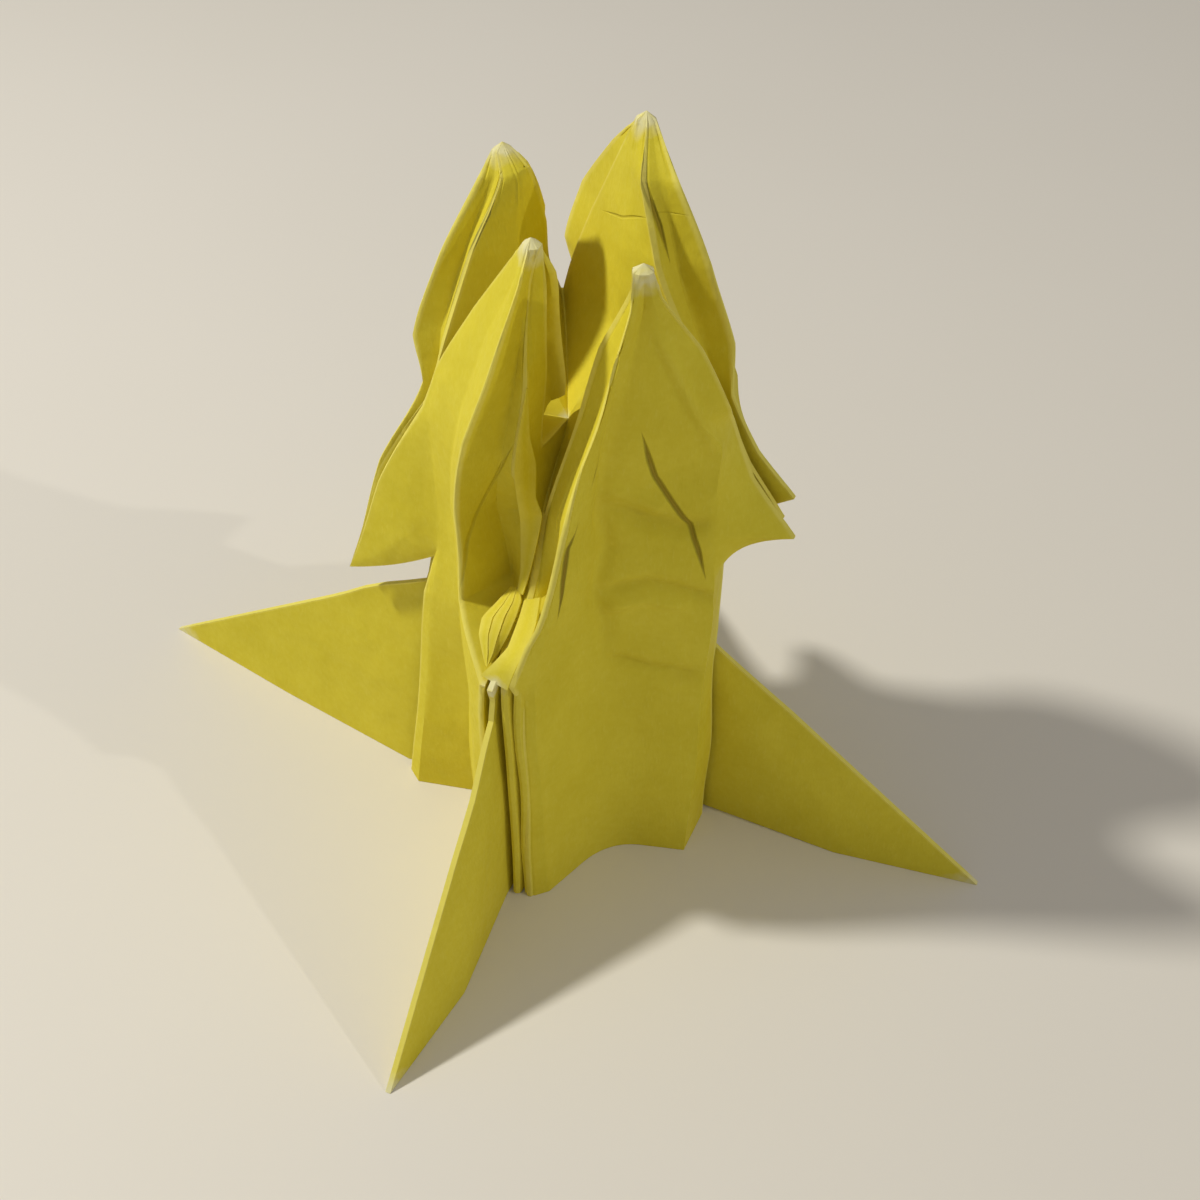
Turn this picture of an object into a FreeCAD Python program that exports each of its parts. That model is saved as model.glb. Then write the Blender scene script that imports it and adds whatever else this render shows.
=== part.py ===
import FreeCAD, Part
import math
import os

# Origami crane: one square of dyed-through yellow paper, folded into a free-standing figure.
# A square column stands on the raw edges of the sheet. Its four corners run out into fins, the
# corners of the sheet folded in half. Its four walls rise into leaf-shaped pointed towers.
# Between two towers the paper is pleated and ends in a small pointed flap above each fin.
# Frame: z = 0 is the table, +Z up, +X along the right fin, -Y along the front fin, millimetres.

doc = FreeCAD.newDocument("origami_crane")

# Driving sizes
sizes = doc.addObject("Spreadsheet::Sheet", "Sizes")
sizes.Label = "Sizes"
DRIVING = [
    ("figure_length", 79.5, "tip of the left fin to tip of the right fin"),
    ("figure_width", 69.4, "tip of the front fin to tip of the back fin"),
    ("figure_height", 61.9, "table to the highest tip"),
    ("sheet_thickness", 0.13, "thickness of the paper"),
    ("layer_pitch", 0.30, "distance between two folded layers, width of a bent edge"),
    ("pleat_depth", 4.2, "how far the pleats go in behind the column corners"),
    ("flap_pleat", 3.4, "how far the pleats go into the flaps"),
    ("fork_pleat", 0.5, "how far the pleats go in at the fork, under the inner faces"),
    ("tower_pleat", 1.2, "how far the towers' side edges are tucked in"),
    ("neck_pleat", 0.4, "the same just under a tower's tip"),
    ("flap_rise_right", 1.5, "how far the pleats in the right flap's tip rise above it"),
    ("flap_rise_back", 4.0, "the same in the back flap"),
    ("flap_rise_left", 5.2, "the same in the left flap"),
    ("flap_rise_front", 1.2, "the same in the front flap"),
    ("under_rise_right", 1.0, "how far the pleats under the right flap rise above its underside"),
    ("under_rise_back", 2.0, "the same under the back flap"),
    ("under_rise_left", 3.8, "the same under the left flap"),
    ("under_rise_front", 1.0, "the same under the front flap"),
    ("fork_drop", 2.0, "how far the pleats drop below a closed fork"),
    ("pocket_pleat", 2.2, "how far the front left tower's pleat goes in at the open front fork"),
    ("pocket_drop", 1.0, "how far it drops there"),
    ("tip_radius", 0.65, "half width of a worn tower tip"),
    ("column_share", 0.1686, "axis to a corner of the column, share of the figure's length"),
    ("front_right_share", 0.9435, "tip of the front right tower, share of the height"),
    ("front_left_share", 0.9305, "tip of the front left tower, the same"),
    ("back_right_share", 0.9887, "tip of the back right tower, the same"),
    ("back_left_share", 0.9321, "tip of the back left tower, the same"),
    ("centre_share", 0.6559, "middle of the sheet, between the towers, the same"),
    ("right_fin_share", 0.4742, "axis to the tip of the right fin, share of the length"),
    ("left_fin_share", 0.5258, "axis to the tip of the left fin, the same"),
    ("front_fin_share", 0.4252, "axis to the tip of the front fin, the same"),
    ("back_fin_share", 0.4465, "axis to the tip of the back fin, the same"),
    ("web_drop", 2.6, "how far the pleat beside the left fork drops"),
    ("fin_splay", 0.45, "how far a fin's two layers stand apart on the table"),
]
for i, (alias, value, note) in enumerate(DRIVING):
    sizes.set("A%d" % (i + 1), alias)
    sizes.set("B%d" % (i + 1), str(value))
    sizes.setAlias("B%d" % (i + 1), alias)
    sizes.set("C%d" % (i + 1), note)
doc.recompute()


def size(alias):
    return float(getattr(sizes, alias))


V = FreeCAD.Vector
# the places of the folds below are written for this length, width and height
LONG, WIDE, TALL = 79.5, 69.4, 61.9


def P(x, y, z):
    """A place on the figure, brought to its length, width and height."""
    return V(x * size("figure_length") / LONG, y * size("figure_width") / WIDE,
             z * size("figure_height") / TALL)


def polar(share, turn):
    """Place on the table at a share of the length from the axis, turned about it in degrees."""
    reach = share * LONG
    return P(reach * math.cos(math.radians(turn)), reach * math.sin(math.radians(turn)), 0)


# Rows from the table up: raw edge, top of the fin, underside of the flap, flap tip, middle of
# the flap, fork between two towers, waist of the tower, upper part, just under the tip, tip.
RAW, APEX, UNDER, FLAP, MID, FORK, WAIST, UPPER, NECK, TIP = range(10)

# The spines, one per fin, counter-clockwise: where two neighbouring towers' pleats meet.
SPINE = {
    "right": [polar(size("right_fin_share"), 3.8), P(13.2, 2.2, 20.0), P(13.1, 2.3, 31.8),
              P(18.0, 2.1, 34.5), P(15.2, 2.1, 38.6), P(13.0, 2.2, 43.0)],
    "back": [polar(size("back_fin_share"), 95.0), P(-2.0, 12.9, 21.5), P(-2.1, 12.7, 26.5),
             P(-3.0, 17.6, 25.5), P(-2.8, 13.8, 33.0), P(-3.3, 10.7, 43.8)],
    "left": [polar(size("left_fin_share"), 174.5), P(-10.3, -1.9, 22.4), P(-9.3, -1.7, 26.4),
             P(-17.3, -1.5, 21.6), P(-14.0, -0.8, 31.8), P(-9.2, -0.8, 40.0)],
    "front": [polar(size("front_fin_share"), 271.0), P(1.0, -13.3, 20.8), P(1.1, -13.1, 23.0),
              P(1.3, -14.0, 25.0), P(1.5, -7.5, 28.3), P(1.5, -4.3, 34.6)],
}
# Foot of each spine on the table, and how far each fin bows sideways half-way along.
FOOT = {
    "right": polar(size("column_share"), 10.6),
    "back": polar(size("column_share"), 98.0),
    "left": polar(size("column_share"), 190.6),
    "front": polar(size("column_share"), 273.6),
}
BOW = {"right": P(0.1, -0.9, 0), "back": P(0.7, 0, 0), "left": P(0, -0.1, 0), "front": P(1.0, 0, 0)}

# The towers, counter-clockwise. For each one: the valley fold down the middle of the outer
# face; the crease beside each corner and the outer folded edge on the clockwise ("cw") and
# counter-clockwise ("ccw") side; the inner folded edges and the inner face above the fork.
TOWERS = ["front_right", "back_right", "back_left", "front_left"]
SIDES = {
    "front_right": ("front", "right"),
    "back_right": ("right", "back"),
    "back_left": ("back", "left"),
    "front_left": ("left", "front"),
}
VALLEY = {
    "front_right": [P(7.0, -4.9, 0), P(6.5, -5.6, 21), P(6.3, -5.9, 24.5), P(6.0, -6.1, 28),
                    P(6.3, -5.9, 32.5), P(6.9, -5.5, 37.6), P(7.7, -6.0, 45.0), P(8.9, -6.0, 51.5),
                    P(9.7, -5.9, 55.8)],
    "back_right": [P(4.6, 7.2, 0), P(4.6, 7.2, 21), P(4.7, 7.2, 26), P(4.8, 7.3, 31),
                   P(5.0, 7.6, 36), P(5.4, 8.2, 42), P(5.8, 9.0, 47), P(5.9, 9.3, 53),
                   P(5.5, 8.7, 58.2)],
    "back_left": [P(-7.4, 5.4, 0), P(-7.0, 5.5, 22), P(-7.0, 5.5, 26.5), P(-7.0, 5.6, 30),
                  P(-7.1, 5.8, 35), P(-7.3, 6.2, 41), P(-7.5, 6.6, 46), P(-7.0, 6.9, 52),
                  P(-6.1, 6.6, 56.4)],
    "front_left": [P(-6.1, -4.0, 0), P(-5.7, -4.5, 21.5), P(-5.6, -4.6, 25), P(-5.7, -4.6, 28),
                   P(-5.9, -4.5, 32), P(-5.5, -4.6, 38), P(-4.3, -5.0, 43.6), P(-2.0, -5.2, 50.2),
                   P(0.4, -5.2, 55.2)],
}
CREASE = {
    ("front_right", "cw"): [P(3.7, -12.5, 0), P(3.2, -12.6, 21), P(3.3, -12.6, 24), P(3.6, -12.4, 26.6),
                            P(4.9, -11.2, 31.4), P(6.4, -9.8, 38.6), P(6.9, -8.8, 44.6),
                            P(8.3, -7.7, 51.1), P(9.6, -6.8, 55.9)],
    ("front_right", "ccw"): [P(13.4, -3.4, 0), P(14.2, -2.3, 21), P(14.3, -2.3, 30), P(14.3, -2.6, 35),
                             P(14.4, -2.5, 39), P(14.4, -2.2, 43), P(12.6, -3.6, 46.4),
                             P(11.4, -4.9, 52), P(10.4, -6.0, 56.2)],
    ("back_right", "cw"): [P(12.0, 5.6, 0), P(12.3, 5.6, 20), P(12.3, 5.7, 30), P(12.5, 5.9, 34),
                           P(12.4, 6.2, 38.5), P(12.2, 6.6, 43), P(10.6, 7.0, 47), P(9.0, 6.4, 52.5),
                           P(7.2, 6.4, 58)],
    ("back_right", "ccw"): [P(1.2, 12.6, 0), P(0.9, 12.2, 21.5), P(0.8, 12.1, 26.5), P(0.6, 12.4, 30),
                            P(0.4, 12.2, 35), P(0.0, 12.2, 41), P(-0.4, 12.9, 46.6), P(0.4, 12.9, 52),
                            P(2.4, 11.2, 57)],
    ("back_left", "cw"): [P(-5.2, 12.2, 0), P(-5.2, 11.7, 21.5), P(-5.2, 11.5, 26.5), P(-5.2, 11.6, 30),
                          P(-5.2, 11.3, 35), P(-5.5, 10.9, 41), P(-5.8, 10.9, 46.5), P(-5.3, 9.4, 52),
                          P(-4.9, 7.2, 56.4)],
    ("back_left", "ccw"): [P(-12.9, 1.2, 0), P(-11.0, 1.5, 22), P(-10.5, 1.6, 26.6), P(-10.2, 1.6, 30),
                           P(-10.0, 1.6, 35), P(-9.9, 1.7, 40), P(-9.8, 2.2, 44.4), P(-8.0, 3.0, 51.2),
                           P(-6.4, 4.9, 56.2)],
    ("front_left", "cw"): [P(-11.2, -4.9, 0), P(-8.9, -3.6, 22), P(-8.1, -3.4, 27.8), P(-8.1, -3.1, 31),
                           P(-8.2, -2.8, 34.5), P(-8.3, -2.6, 39.4), P(-6.9, -3.0, 43.4),
                           P(-3.4, -3.6, 50), P(-0.3, -4.5, 55.3)],
    ("front_left", "ccw"): [P(-1.6, -12.2, 0), P(-1.4, -11.6, 21), P(-1.4, -11.3, 23.4),
                            P(-1.8, -10.6, 25.6), P(-4.4, -7.5, 29), P(-4.6, -7.2, 35.6),
                            P(-3.1, -7.8, 43.3), P(-0.8, -7.4, 50.3), P(0.8, -6.3, 55.6)],
}
EDGE = {
    ("front_right", "cw"): [P(2.3, -13.8, 0), P(2.2, -13.3, 21), P(2.2, -13.2, 23.4), P(2.3, -13.8, 25.2),
                            P(4.3, -12.0, 30.7), P(6.1, -10.3, 39.2), P(6.7, -9.7, 44.5),
                            P(8.1, -8.4, 50.6), P(9.4, -7.3, 56.0)],
    ("front_right", "ccw"): [P(13.5, 0.9, 0), P(13.9, 0.9, 20.4), P(13.8, 1.1, 31.6), P(19.1, 1.3, 33.5),
                             P(15.9, 1.0, 38.0), P(14.2, 0.6, 43.2), P(14.7, -2.1, 46.6),
                             P(13.0, -3.9, 52.0), P(10.9, -5.9, 56.6)],
    ("back_right", "cw"): [P(12.8, 3.9, 0), P(13.2, 3.6, 20.4), P(13.0, 3.6, 31.8), P(18.5, 3.0, 36.0),
                           P(15.5, 3.2, 39.2), P(13.0, 3.7, 43.4), P(12.7, 4.6, 47.0),
                           P(11.0, 4.1, 52.8), P(8.1, 4.9, 58.2)],
    ("back_right", "ccw"): [P(-0.6, 13.5, 0), P(-0.8, 13.1, 21.5), P(-0.9, 12.9, 26.5),
                            P(-2.0, 17.6, 25.5), P(-1.7, 13.9, 33.0), P(-2.2, 12.0, 44.0),
                            P(-3.5, 12.4, 47.6), P(-2.3, 12.8, 52.6), P(1.0, 10.6, 57.4)],
    ("back_left", "cw"): [P(-3.2, 13.3, 0), P(-3.2, 12.8, 21.5), P(-3.3, 12.6, 26.5), P(-4.0, 17.4, 25.5),
                          P(-3.9, 13.5, 33.0), P(-4.5, 11.5, 44.0), P(-4.9, 11.0, 47.0),
                          P(-4.0, 9.4, 52.0), P(-4.2, 6.9, 56.6)],
    ("back_left", "ccw"): [P(-13.1, -1.0, 0), P(-10.7, -0.5, 22.4), P(-9.9, -0.4, 26.6),
                           P(-17.5, -0.6, 21.4), P(-14.3, 0.1, 32.0), P(-10.1, 0.5, 40.4),
                           P(-10.7, 0.6, 44.3), P(-8.3, 1.5, 51.2), P(-6.5, 4.0, 56.2)],
    ("front_left", "cw"): [P(-12.4, -3.9, 0), P(-9.8, -3.2, 22.2), P(-8.8, -2.9, 26.4),
                           P(-17.0, -2.4, 21.8), P(-13.6, -1.8, 31.4), P(-9.1, -2.0, 39.8),
                           P(-7.9, -1.7, 43.6), P(-4.1, -2.5, 50.2), P(-0.8, -3.8, 55.2)],
    ("front_left", "ccw"): [P(-0.2, -13.3, 0), P(-0.2, -12.8, 20.9), P(-0.1, -12.7, 23.1),
                            P(0.3, -13.4, 24.7), P(-3.6, -8.7, 28.2), P(-3.9, -8.1, 35.6),
                            P(-2.2, -9.0, 43.4), P(-0.1, -8.4, 50.4), P(1.3, -6.7, 55.7)],
}
INNER_EDGE = {
    ("front_right", "cw"): [P(4.0, -4.6, 42.6), P(6.0, -3.8, 50.4), P(8.3, -4.4, 55.6)],
    ("front_right", "ccw"): [P(11.4, -0.6, 46.6), P(10.6, -2.0, 51.8), P(9.8, -4.2, 56.0)],
    ("back_right", "cw"): [P(10.4, 2.6, 46.8), P(7.7, 2.3, 53.2), P(5.6, 4.2, 58.2)],
    ("back_right", "ccw"): [P(-1.9, 10.0, 47.6), P(-0.5, 10.2, 52.0), P(2.2, 8.8, 57.6)],
    ("back_left", "cw"): [P(-3.6, 9.2, 47.4), P(-3.0, 7.5, 52.0), P(-3.6, 6.0, 56.6)],
    ("back_left", "ccw"): [P(-7.5, -0.9, 45.4), P(-5.7, 1.2, 52.0), P(-4.8, 4.2, 56.4)],
    ("front_left", "cw"): [P(1.5, -0.3, 43.0), P(1.9, -1.4, 49.5), P(2.4, -3.3, 55.0)],
    ("front_left", "ccw"): [P(0.5, -6.4, 39.4), P(1.3, -6.0, 47.0), P(1.1, -4.7, 54.5)],
}
INNER_FACE = {
    "front_right": [P(5.4, -1.2, 45.0), P(7.2, -1.8, 51.2), P(8.7, -3.8, 55.8)],
    "back_right": [P(4.0, 4.4, 46.0), P(4.0, 5.4, 52.4), P(4.0, 6.6, 58.0)],
    "back_left": [P(-3.4, 3.4, 45.6), P(-3.7, 4.2, 52.0), P(-4.0, 4.9, 56.6)],
    "front_left": [P(1.2, -3.6, 40.5), P(1.8, -3.6, 47.6), P(2.1, -4.2, 54.5)],
}
TIP_AT = {
    "front_right": P(9.7, -6.1, size("front_right_share") * TALL),
    "back_right": P(4.6, 7.6, size("back_right_share") * TALL),
    "back_left": P(-5.5, 6.0, size("back_left_share") * TALL),
    "front_left": P(1.4, -4.7, size("front_left_share") * TALL),
}
CENTRE = P(1.6, 0.2, size("centre_share") * TALL)

# The sheet as a net of facets
points = []
facets = []


def point(p):
    points.append(V(p))
    return len(points) - 1


def quad(a, b, c, d):
    """Two flat facets a-b-c and a-c-d; the shorter diagonal of the four is the fold."""
    if (points[a] - points[c]).Length <= (points[b] - points[d]).Length:
        corners = [(a, b, c), (a, c, d)]
    else:
        corners = [(a, b, d), (b, c, d)]
    for tri in corners:
        if len(set(tri)) == 3:
            facets.append(tri)


pitch = size("layer_pitch")
HALF = {}
CENTRE_ID = point(CENTRE)
HUB = V(1.0, -0.4, 0)


def toward(a, b):
    d = b - a
    d.normalize()
    return d


# Level direction in which the pleats go in from a corner: within the column, within the flap.
INWARD = {
    "right": (V(-0.985, -0.17, 0), V(-1.0, 0.03, 0)),
    "back": (V(0.14, -0.99, 0), V(0.03, -1.0, 0)),
    "left": (V(0.99, 0.14, 0), V(0.995, 0.09, 0)),
    "front": (V(-0.03, 1.0, 0), V(0.02, 1.0, 0)),
}


for tower in TOWERS:
    for turn, side in (("cw", 0), ("ccw", 1)):
        corner = SIDES[tower][side]
        rows = []
        for row in range(RAW, TIP):
            crease = CREASE[tower, turn][row]
            edge = EDGE[tower, turn][row]
            if row <= FORK:
                spine = SPINE[corner][row]
                root = FOOT[corner] if row == RAW else spine
            else:
                spine = INNER_EDGE[tower, turn][row - WAIST]
                root = spine
            if row <= FORK:
                inward = INWARD[corner][0 if row <= UNDER else 1]
                level = V(-inward.y, inward.x, 0)
                if level.dot(edge - root) < 0:
                    level = level * -1
                root = root + level * (pitch / 2)
                lip = root
                if row == FORK:
                    root = root + level * (pitch * 0.85)
            else:
                level = toward(root, edge)
                lip = root
                along = toward(root, INNER_FACE[tower][row - WAIST])
                beside = VALLEY[tower][row] - INNER_FACE[tower][row - WAIST]
                beside = beside - along * beside.dot(along)
                beside.normalize()
                root = root + beside * pitch
                level = toward(root, edge)
            if row == RAW:
                along = toward(FOOT[corner], SPINE[corner][RAW])
                beside = V(-along.y, along.x, 0)
                if beside.dot(level) < 0:
                    beside = beside * -1
                spine = spine + beside * (pitch / 2)
            else:
                spine = root
            back = edge - level * pitch
            middle = (edge + root) * 0.5
            if row <= UNDER:
                rise = size("under_rise_" + corner) if row == UNDER else 0
                pleat = middle + inward * size("pleat_depth") + V(0, 0, rise)
            elif row <= MID:
                rise = size("flap_rise_" + corner) if row == FLAP else 0
                pleat = middle + inward * size("flap_pleat") + V(0, 0, rise)
            elif row == FORK and (tower, turn) == ("front_left", "ccw"):
                pleat = edge + (root - edge) * 0.35 + inward * size("pocket_pleat")
                pleat = pleat - V(0, 0, size("pocket_drop"))
            elif row == FORK:
                drop = 0 if corner == "front" else size("fork_drop")
                pleat = middle + inward * size("fork_pleat") - V(0, 0, drop)
            else:
                own = (VALLEY[tower][row] + INNER_FACE[tower][row - WAIST]) * 0.5
                tuck = size("neck_pleat") if row == NECK else size("tower_pleat")
                if (tower, turn) == ("front_left", "ccw") and row < NECK:
                    middle = edge + (root - edge) * 0.75
                pleat = middle + toward(middle, own) * tuck
                if (tower, turn) == ("front_left", "cw") and row == WAIST:
                    pleat = pleat - V(0, 0, size("web_drop"))
            fold_out = pleat + level * (pitch / 2)
            fold_in = pleat - level * (pitch / 2)
            if row == RAW:
                near = root + beside * (size("fin_splay") / 2)
                far = (FOOT[corner] + SPINE[corner][RAW]) * 0.5 + BOW[corner]
                far = far + beside * (pitch / 2 + size("fin_splay") / 2)
            else:
                first, second = (0.75, 0.88) if row <= UNDER else (0.35, 0.7)
                near = fold_in + (spine - fold_in) * first
                far = fold_in + (spine - fold_in) * second
            ids = [point(q) for q in (crease, edge, back, fold_out, fold_in, near, far, spine)]
            ids.append(ids[-1] if row < FORK else point(lip))
            rows.append(ids)
        HALF[tower, turn] = rows

for tower in TOWERS:
    # outer face, its side edges, pleats and the layers that run out to the spines
    mids = [point(p) for p in VALLEY[tower]]
    top = TIP_AT[tower]
    outside = toward(V(INNER_FACE[tower][2].x, INNER_FACE[tower][2].y, 0),
                     V(VALLEY[tower][8].x, VALLEY[tower][8].y, 0))
    beside = V(-outside.y, outside.x, 0)
    r = size("tip_radius")
    tip_mid = point(top + outside * r * 0.8)
    tip_in = point(top - outside * r)
    tip_top = point(top + V(0, 0, 0.6))
    loops = {}
    for turn, sign in (("cw", -1), ("ccw", 1)):
        rows = HALF[tower, turn]
        e = point(top + outside * r * 0.5 + beside * sign * r * 0.9)
        s = point(top - outside * r * 0.5 + beside * sign * r * 0.9)
        g = point(top + beside * sign * r * 0.95)
        k = point(top + outside * r * 0.8 + beside * sign * r * 0.45)
        last = [k, e, e, g, g, g, g, s, s]
        net = [[mids[i]] + rows[i] for i in range(RAW, TIP)] + [[tip_mid] + last]
        for lower, upper in zip(net[:-1], net[1:]):
            for j in range(len(lower) - 1):
                if sign > 0:
                    quad(lower[j], lower[j + 1], upper[j + 1], upper[j])
                else:
                    quad(lower[j + 1], lower[j], upper[j], upper[j + 1])
        loops[turn] = net
    # inner face, from the middle of the sheet up to the tip
    faces_in = [CENTRE_ID] + [point(p) for p in INNER_FACE[tower]] + [tip_in]
    for turn, sign in (("cw", -1), ("ccw", 1)):
        ends = [loops[turn][i][-1] for i in range(FORK, TIP + 1)]
        for i in range(len(ends) - 1):
            if sign > 0:
                quad(ends[i], faces_in[i], faces_in[i + 1], ends[i + 1])
            else:
                quad(faces_in[i], ends[i], ends[i + 1], faces_in[i + 1])
    # the worn tip closes over
    k_cw, e_cw, g_cw, s_cw = [loops["cw"][TIP][i] for i in (1, 2, 4, 8)]
    k_ccw, e_ccw, g_ccw, s_ccw = [loops["ccw"][TIP][i] for i in (1, 2, 4, 8)]
    ring = [tip_mid, k_ccw, e_ccw, g_ccw, s_ccw, tip_in, s_cw, g_cw, e_cw, k_cw]
    for a, b in zip(ring, ring[1:] + ring[:1]):
        facets.append((a, b, tip_top))

# bent edges along the spines, from the tip of the fin up to the fork
for i, tower in enumerate(TOWERS):
    after = TOWERS[(i + 1) % 4]
    one = [row[-1] for row in HALF[tower, "ccw"][:WAIST]]
    other = [row[-1] for row in HALF[after, "cw"][:WAIST]]
    for j in range(FORK):
        quad(one[j], other[j], other[j + 1], one[j + 1])
    facets.append((one[FORK], other[FORK], CENTRE_ID))

# The net gets the paper's thickness
half = size("sheet_thickness") / 2
normals = []
around = [[] for p in points]
for tri in facets:
    a, b, c = [points[i] for i in tri]
    n = (b - a).cross(c - a)
    area = n.Length
    if area > 0:
        n.normalize()
    normals.append(n)
    for k in range(3):
        p, q, s = points[tri[k]], points[tri[(k + 1) % 3]], points[tri[(k + 2) % 3]]
        around[tri[k]].append((n, (q - p).getAngle(s - p)))

sides = {}
for tri in facets:
    for a, b in ((tri[0], tri[1]), (tri[1], tri[2]), (tri[2], tri[0])):
        sides[a, b] = sides.get((a, b), 0) + 1
raw_edges = [(a, b) for (a, b) in sides if (b, a) not in sides]
on_table = set(a for a, b in raw_edges) | set(b for a, b in raw_edges)



def mitre(faces_here, level_only):
    """The step off the net whose height over every facet around a point is 1, as nearly as it can
    be: the corner of the paper's surface there. Kept under 1.9 where the paper is bent hard."""
    xx = yy = zz = 0.03
    xy = xz = yz = 0.0
    b = V(0, 0, 0)
    for m, w in faces_here:
        if level_only:
            m = V(m.x, m.y, 0)
        xx += w * m.x * m.x
        yy += w * m.y * m.y
        zz += w * m.z * m.z
        xy += w * m.x * m.y
        xz += w * m.x * m.z
        yz += w * m.y * m.z
        b = b + m * w
    r1, r2, r3 = V(xx, xy, xz), V(xy, yy, yz), V(xz, yz, zz)
    det = r1.dot(r2.cross(r3))
    step = (r2.cross(r3) * b.x + r3.cross(r1) * b.y + r1.cross(r2) * b.z) * (1.0 / det)
    if level_only:
        step.z = 0
    if step.Length > 1.9:
        step = step * (1.9 / step.Length)
    return step


outer = []
inner = []
for i, p in enumerate(points):
    step = mitre(around[i], i in on_table) * half
    outer.append(p + step)
    inner.append(p - step)


def facet(a, b, c):
    return Part.Face(Part.makePolygon([a, b, c, a]))


shell = []
for a, b, c in facets:
    shell.append(facet(outer[a], outer[b], outer[c]))
    shell.append(facet(inner[c], inner[b], inner[a]))
for a, b in raw_edges:
    shell.append(facet(outer[b], outer[a], inner[a]))
    shell.append(facet(outer[b], inner[a], inner[b]))

body = Part.makeSolid(Part.makeShell(shell))
if body.Volume < 0:
    body.reverse()

folded = doc.addObject("Part::Feature", "folded_sheet")
folded.Label = "folded_sheet"
folded.Shape = body
# the figure is set with the middle of its outline over the origin
spread = body.BoundBox
shift = V(-(spread.XMin + spread.XMax) / 2, -(spread.YMin + spread.YMax) / 2, 0)
folded.Placement = FreeCAD.Placement(shift, FreeCAD.Rotation())
doc.recompute()

for obj in doc.Objects:
    state = list(obj.State)
    if "Invalid" in state or "Error" in state:
        raise RuntimeError("%s did not compute: %s" % (obj.Label, state))
if folded.Shape.isNull() or not folded.Shape.isValid():
    raise RuntimeError("the folded sheet is not a valid solid")
if len(folded.Shape.Solids) != 1:
    raise RuntimeError("the folded sheet is not one solid")

os.makedirs("parts", exist_ok=True)
folded.Shape.exportStep("parts/folded_sheet.step")
box = folded.Shape.BoundBox
print("points", len(points), "facets", len(facets), "raw", len(raw_edges))
print("shift", [round(v, 3) for v in shift])
print("box", [round(v, 2) for v in (box.XMin, box.YMin, box.ZMin, box.XMax, box.YMax, box.ZMax)])
print("volume", round(folded.Shape.Volume, 1), "valid", folded.Shape.isValid())
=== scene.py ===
import math

import bpy
import numpy as np
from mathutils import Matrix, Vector


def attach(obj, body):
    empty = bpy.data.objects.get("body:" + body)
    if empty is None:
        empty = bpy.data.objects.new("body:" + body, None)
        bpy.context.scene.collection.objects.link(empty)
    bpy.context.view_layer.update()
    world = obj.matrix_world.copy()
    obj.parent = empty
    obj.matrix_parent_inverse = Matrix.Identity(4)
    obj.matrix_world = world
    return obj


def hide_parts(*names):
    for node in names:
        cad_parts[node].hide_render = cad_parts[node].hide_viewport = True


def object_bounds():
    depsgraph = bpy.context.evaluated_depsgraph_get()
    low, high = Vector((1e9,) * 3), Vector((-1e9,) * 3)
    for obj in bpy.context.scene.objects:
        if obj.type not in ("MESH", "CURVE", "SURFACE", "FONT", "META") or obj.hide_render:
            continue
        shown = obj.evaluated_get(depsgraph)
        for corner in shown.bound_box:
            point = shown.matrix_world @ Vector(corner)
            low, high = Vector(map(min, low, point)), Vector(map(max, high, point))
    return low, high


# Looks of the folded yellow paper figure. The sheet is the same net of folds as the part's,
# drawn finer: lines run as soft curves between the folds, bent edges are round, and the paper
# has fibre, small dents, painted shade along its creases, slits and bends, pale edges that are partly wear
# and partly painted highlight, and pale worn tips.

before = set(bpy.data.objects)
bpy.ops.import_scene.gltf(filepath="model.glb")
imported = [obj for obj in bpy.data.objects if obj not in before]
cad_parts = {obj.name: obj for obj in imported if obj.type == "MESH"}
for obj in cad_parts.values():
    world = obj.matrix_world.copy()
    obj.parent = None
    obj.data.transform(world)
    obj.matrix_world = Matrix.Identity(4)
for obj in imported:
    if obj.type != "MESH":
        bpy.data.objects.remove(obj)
cad_low, cad_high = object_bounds()

# driving sizes, millimetres and shares of the whole, as in the part's spreadsheet
SIZE = {
    "sheet_thickness": 0.13,
    "layer_pitch": 0.30,
    "pleat_depth": 4.2,
    "flap_pleat": 3.4,
    "fork_pleat": 0.5,
    "tower_pleat": 1.2,
    "neck_pleat": 0.4,
    "flap_rise_right": 1.5,
    "flap_rise_back": 4.0,
    "flap_rise_left": 5.2,
    "flap_rise_front": 1.2,
    "under_rise_right": 1.0,
    "under_rise_back": 2.0,
    "under_rise_left": 3.8,
    "under_rise_front": 1.0,
    "fork_drop": 2.0,
    "pocket_pleat": 2.2,
    "pocket_drop": 1.0,
    "tip_radius": 0.65,
    "column_share": 0.1686,
    "front_right_share": 0.9435,
    "front_left_share": 0.9305,
    "back_right_share": 0.9887,
    "back_left_share": 0.9321,
    "centre_share": 0.6559,
    "right_fin_share": 0.4742,
    "left_fin_share": 0.5258,
    "front_fin_share": 0.4252,
    "back_fin_share": 0.4465,
    "web_drop": 2.6,
    "fin_splay": 0.45,
}
# the whole's length and height, and the move that centres the figure on the origin
LONG, TALL = 79.5, 61.9
SHIFT = np.array([2.022, -0.787, 0.0])


def size(alias):
    return SIZE[alias]


def V(x, y, z):
    return np.array([x, y, z], float)


# a place in the tables of folds
P = V


def polar(share, turn):
    """Place on the table at a share of the length from the axis, turned about it in degrees."""
    reach = share * LONG
    return P(reach * math.cos(math.radians(turn)), reach * math.sin(math.radians(turn)), 0)


def unit(d):
    return d / np.linalg.norm(d)


RAW, APEX, UNDER, FLAP, MID, FORK, WAIST, UPPER, NECK, TIP = range(10)

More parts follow.
